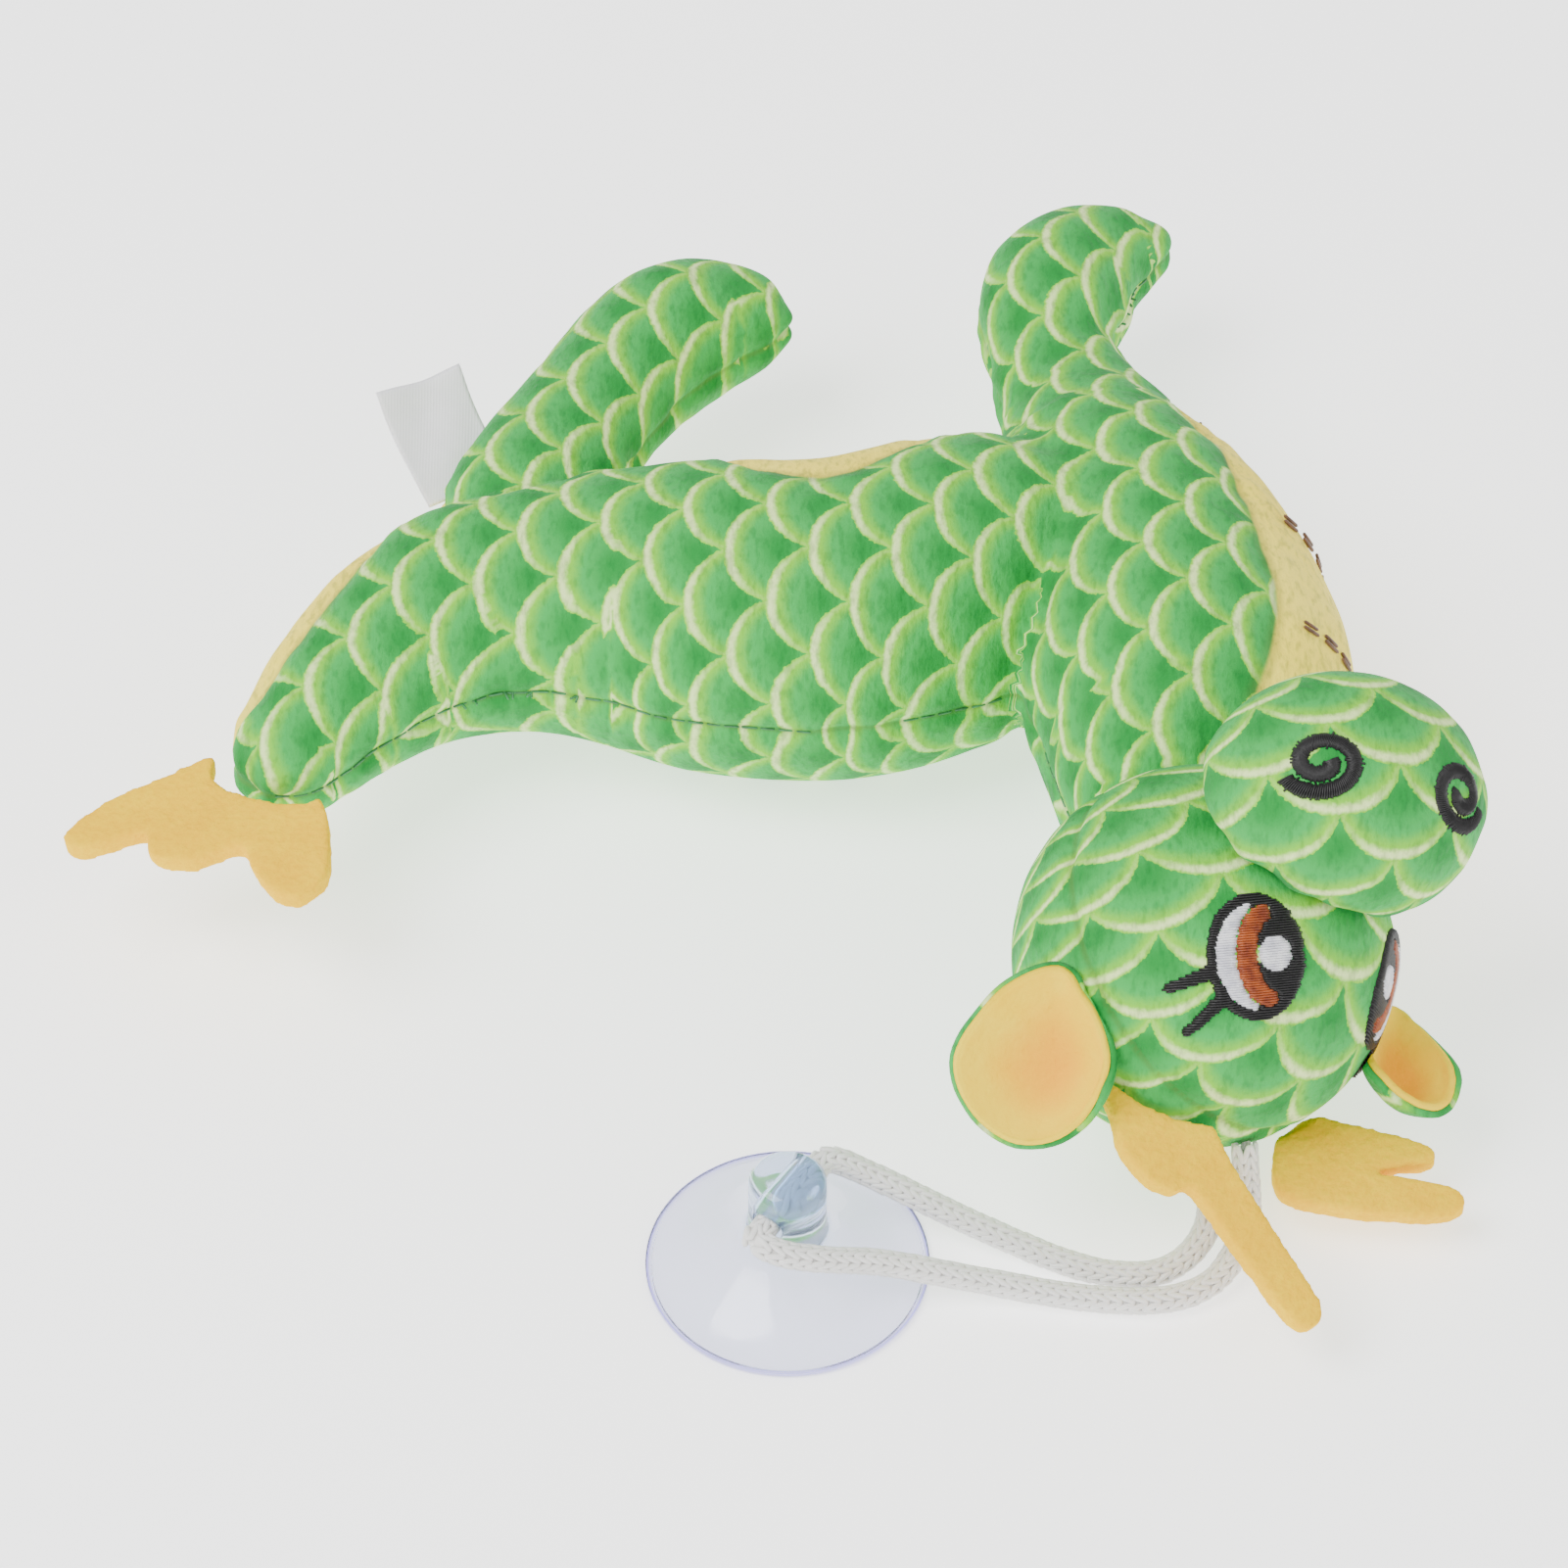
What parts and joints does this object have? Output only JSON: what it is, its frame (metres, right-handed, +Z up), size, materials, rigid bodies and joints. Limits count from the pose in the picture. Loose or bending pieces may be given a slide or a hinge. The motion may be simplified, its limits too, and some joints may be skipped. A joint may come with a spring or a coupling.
{
  "type": "hanging plush toy",
  "caption": "Stuffed plush dragon with a printed scale coat, felt horns and tail fin, on a knitted cord loop with a clear suction cup for hanging on glass.",
  "frame": {"origin": "middle of the footprint, on the surface that the toy lies on", "axes": "+X from the tail fin towards the snout, +Y towards the side that the two legs point to, +Z up from the surface"},
  "size_m": [0.2026, 0.2124, 0.0738],
  "materials": {
    "velboa_green_scales": "short-pile velboa with a printed scale pattern",
    "velboa_yellow": "short-pile velboa",
    "polyester_fibre": "loose polyester fibre filling",
    "felt_yellow": "needled felt with a soft, fuzzy edge",
    "label_satin": "white satin ribbon",
    "cord_nylon": "knitted white nylon cord",
    "clear_pvc": "clear soft vinyl with a faint blue-violet tint",
    "thread_black": "satin-stitch embroidery thread",
    "thread_white": "satin-stitch embroidery thread",
    "thread_brown": "embroidery thread"
  },
  "bodies": {
    "torso": {"belly_gusset": "velboa_yellow", "body_panel_left": "velboa_green_scales", "body_panel_right": "velboa_green_scales", "body_stuffing": "polyester_fibre", "chest_gusset": "velboa_yellow", "chest_stitch_1": "thread_brown", "chest_stitch_2": "thread_brown", "chest_stitch_3": "thread_brown", "tail_gusset": "velboa_yellow"},
    "head": {"eye_left_black": "thread_black", "eye_left_glint": "thread_white", "eye_left_iris": "thread_brown", "eye_left_white": "thread_white", "eye_right_black": "thread_black", "eye_right_glint": "thread_white", "eye_right_iris": "thread_brown", "eye_right_white": "thread_white", "head_back_panel": "velboa_green_scales", "head_face_panel": "velboa_green_scales", "head_stuffing": "polyester_fibre", "muzzle_cover": "velboa_green_scales", "muzzle_stuffing": "polyester_fibre", "nostril_left": "thread_black", "nostril_right": "thread_black"},
    "ear_left": {"ear_left_outer": "velboa_green_scales", "ear_left_lining": "velboa_yellow"},
    "ear_right": {"ear_right_outer": "velboa_green_scales", "ear_right_lining": "velboa_yellow"},
    "horn_left": {"horn_left": "felt_yellow"},
    "horn_right": {"horn_right": "felt_yellow"},
    "tail_fin": {"tail_fin": "felt_yellow"},
    "label": {"label": "label_satin"},
    "cord": {"cord": "cord_nylon"},
    "cup": {"suction_cup": "clear_pvc"}
  },
  "joints": [
    {"name": "head_turn", "type": "hinge", "parent": "torso", "child": "head", "pos_m": [0.06181, -0.03206, 0.0285], "axis": [0, 1, 0], "range_deg": [-15, 15], "stiffness_Nm_per_rad": 0.15},
    {"name": "ear_left_flap", "type": "hinge", "parent": "head", "child": "ear_left", "pos_m": [0.04251, -0.07046, 0.0307], "axis": [-0.5409, 0.6659, 0.5139], "range_deg": [0, 18], "stiffness_Nm_per_rad": 0.004},
    {"name": "ear_right_flap", "type": "hinge", "parent": "head", "child": "ear_right", "pos_m": [0.08461, -0.06126, 0.0186], "axis": [-0.153, -0.9319, 0.329], "range_deg": [0, 20], "stiffness_Nm_per_rad": 0.004},
    {"name": "horn_left_bend", "type": "hinge", "parent": "head", "child": "horn_left", "pos_m": [0.05681, -0.08046, 0.0245], "axis": [0.8039, 0.5939, -0.031], "range_deg": [-4, 10], "stiffness_Nm_per_rad": 0.006},
    {"name": "horn_right_bend", "type": "hinge", "parent": "head", "child": "horn_right", "pos_m": [0.07571, -0.06976, 0.0097], "axis": [0.1581, 0.9676, 0.1971], "range_deg": [-5, 8], "stiffness_Nm_per_rad": 0.006},
    {"name": "cord_swing", "type": "hinge", "parent": "head", "child": "cord", "pos_m": [0.06431, -0.07756, 0.011], "axis": [0, 0, 1], "range_deg": [-14, 0]},
    {"name": "cup_swivel", "type": "hinge", "parent": "cord", "child": "cup", "pos_m": [0.00331, -0.08606, 0.014], "axis": [0.5736, 0.8191, 0], "range_deg": [-5, 50]},
    {"name": "tail_fin_flap", "type": "hinge", "parent": "torso", "child": "tail_fin", "pos_m": [-0.07619, -0.02106, 0.026], "axis": [0.0995, -0.995, 0], "range_deg": [-12, 8], "stiffness_Nm_per_rad": 0.008},
    {"name": "label_flap", "type": "hinge", "parent": "torso", "child": "label", "pos_m": [-0.05089, 0.04164, 0.0264], "axis": [-0.8904, -0.4552, 0], "range_deg": [-12, 20], "stiffness_Nm_per_rad": 0.001}
  ]
}
